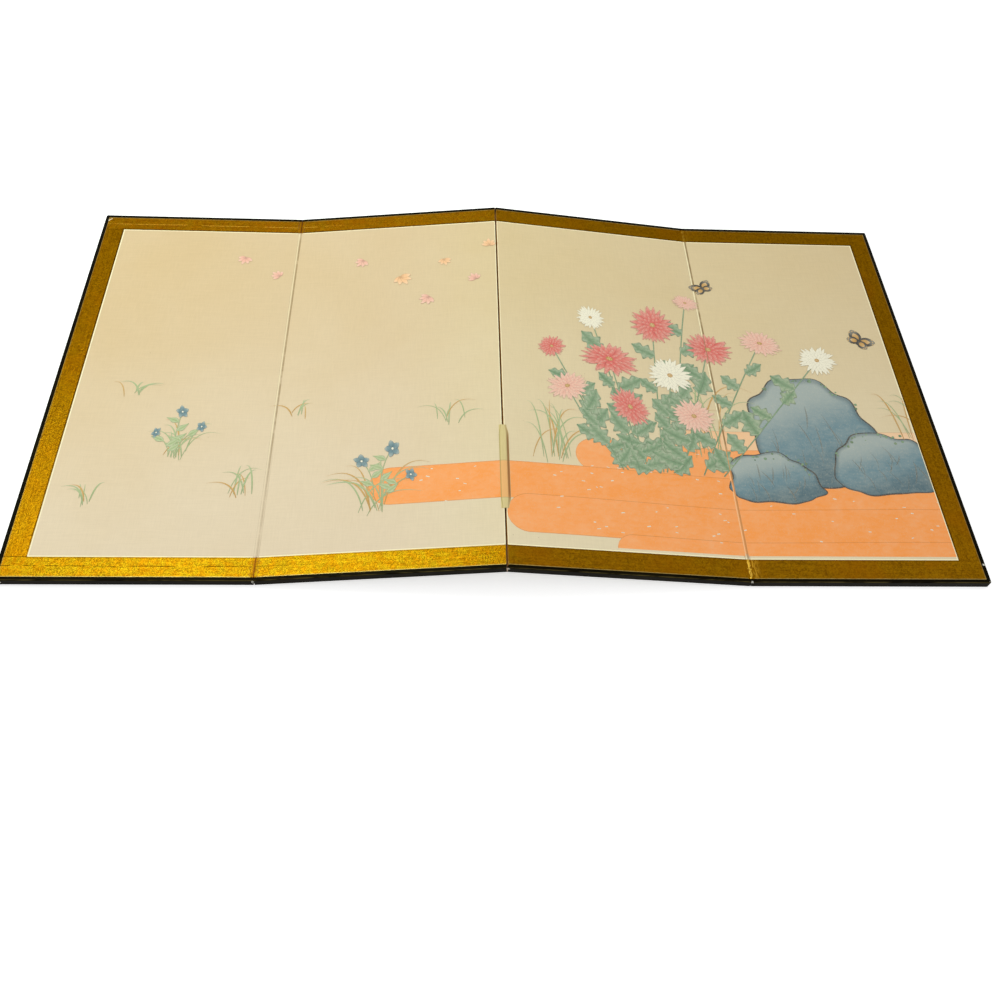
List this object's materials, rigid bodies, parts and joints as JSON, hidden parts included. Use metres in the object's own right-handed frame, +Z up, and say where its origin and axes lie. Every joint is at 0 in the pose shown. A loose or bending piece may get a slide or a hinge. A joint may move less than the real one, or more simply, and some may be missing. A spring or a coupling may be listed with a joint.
{
  "type": "folding screen",
  "caption": "Low folding screen (byobu): hinged panels with a silk picture, gold brocade border and black lacquered rims, lying face up with its middle fold a little raised.",
  "frame": {"origin": "on the floor under the middle of the screen: the middle fold's plane, half way up the panels", "axes": "+X across the screen from the first panel to the last, +Y from the bottom rims to the top rims, +Z up from the floor, out of the picture"},
  "size_m": [1.6894, 0.914, 0.0607],
  "materials": {
    "black_lacquer": "black lacquer, satin, rubbed at the edges",
    "picture_silk": "cream silk, finely woven",
    "gold_brocade": "gold brocade, dull metallic thread",
    "back_paper": "stencilled covering paper, matte",
    "underlay_paper": "layered mulberry paper",
    "hinge_paper": "strong mulberry paper",
    "core_wood": "planed softwood",
    "lattice_wood": "planed softwood",
    "nail_steel": "plain steel"
  },
  "bodies": {
    "panel_1": {"panel_1_back_paper": "back_paper", "panel_1_back_underlay": "underlay_paper", "panel_1_bottom_rail": "black_lacquer", "panel_1_core_rails": "core_wood", "panel_1_core_stiles": "core_wood", "panel_1_end_stile": "black_lacquer", "panel_1_front_underlay": "underlay_paper", "panel_1_gold_border": "gold_brocade", "panel_1_picture_silk": "picture_silk", "panel_1_right_hinge_papers": "hinge_paper", "panel_1_rim_nails": "nail_steel", "panel_1_tall_bars": "lattice_wood", "panel_1_top_rail": "black_lacquer", "panel_1_wide_bars": "lattice_wood"},
    "panel_2": {"panel_2_back_paper": "back_paper", "panel_2_back_underlay": "underlay_paper", "panel_2_bottom_rail": "black_lacquer", "panel_2_core_rails": "core_wood", "panel_2_core_stiles": "core_wood", "panel_2_front_underlay": "underlay_paper", "panel_2_gold_border": "gold_brocade", "panel_2_left_hinge_papers": "hinge_paper", "panel_2_picture_silk": "picture_silk", "panel_2_right_hinge_papers": "hinge_paper", "panel_2_rim_nails": "nail_steel", "panel_2_tall_bars": "lattice_wood", "panel_2_top_rail": "black_lacquer", "panel_2_wide_bars": "lattice_wood"},
    "panel_3": {"panel_3_back_paper": "back_paper", "panel_3_back_underlay": "underlay_paper", "panel_3_bottom_rail": "black_lacquer", "panel_3_core_rails": "core_wood", "panel_3_core_stiles": "core_wood", "panel_3_front_underlay": "underlay_paper", "panel_3_gold_border": "gold_brocade", "panel_3_left_hinge_papers": "hinge_paper", "panel_3_picture_silk": "picture_silk", "panel_3_right_hinge_papers": "hinge_paper", "panel_3_rim_nails": "nail_steel", "panel_3_tall_bars": "lattice_wood", "panel_3_top_rail": "black_lacquer", "panel_3_wide_bars": "lattice_wood"},
    "panel_4": {"panel_4_back_paper": "back_paper", "panel_4_back_underlay": "underlay_paper", "panel_4_bottom_rail": "black_lacquer", "panel_4_core_rails": "core_wood", "panel_4_core_stiles": "core_wood", "panel_4_end_stile": "black_lacquer", "panel_4_front_underlay": "underlay_paper", "panel_4_gold_border": "gold_brocade", "panel_4_left_hinge_papers": "hinge_paper", "panel_4_picture_silk": "picture_silk", "panel_4_rim_nails": "nail_steel", "panel_4_tall_bars": "lattice_wood", "panel_4_top_rail": "black_lacquer", "panel_4_wide_bars": "lattice_wood"}
  },
  "joints": [
    {"name": "left_fold", "type": "hinge", "parent": "panel_2", "child": "panel_1", "pos_m": [-0.42221, 0, 0.0153], "axis": [0, 1, 0], "range_deg": [-6.2, 173.8]},
    {"name": "middle_fold", "type": "hinge", "parent": "panel_2", "child": "panel_3", "pos_m": [0, 0, 0.04548], "axis": [0, 1, 0], "range_deg": [-12.4, 167.6]},
    {"name": "right_fold", "type": "hinge", "parent": "panel_3", "child": "panel_4", "pos_m": [0.42221, 0, 0.0153], "axis": [0, -1, 0], "range_deg": [-6.2, 173.8]}
  ]
}
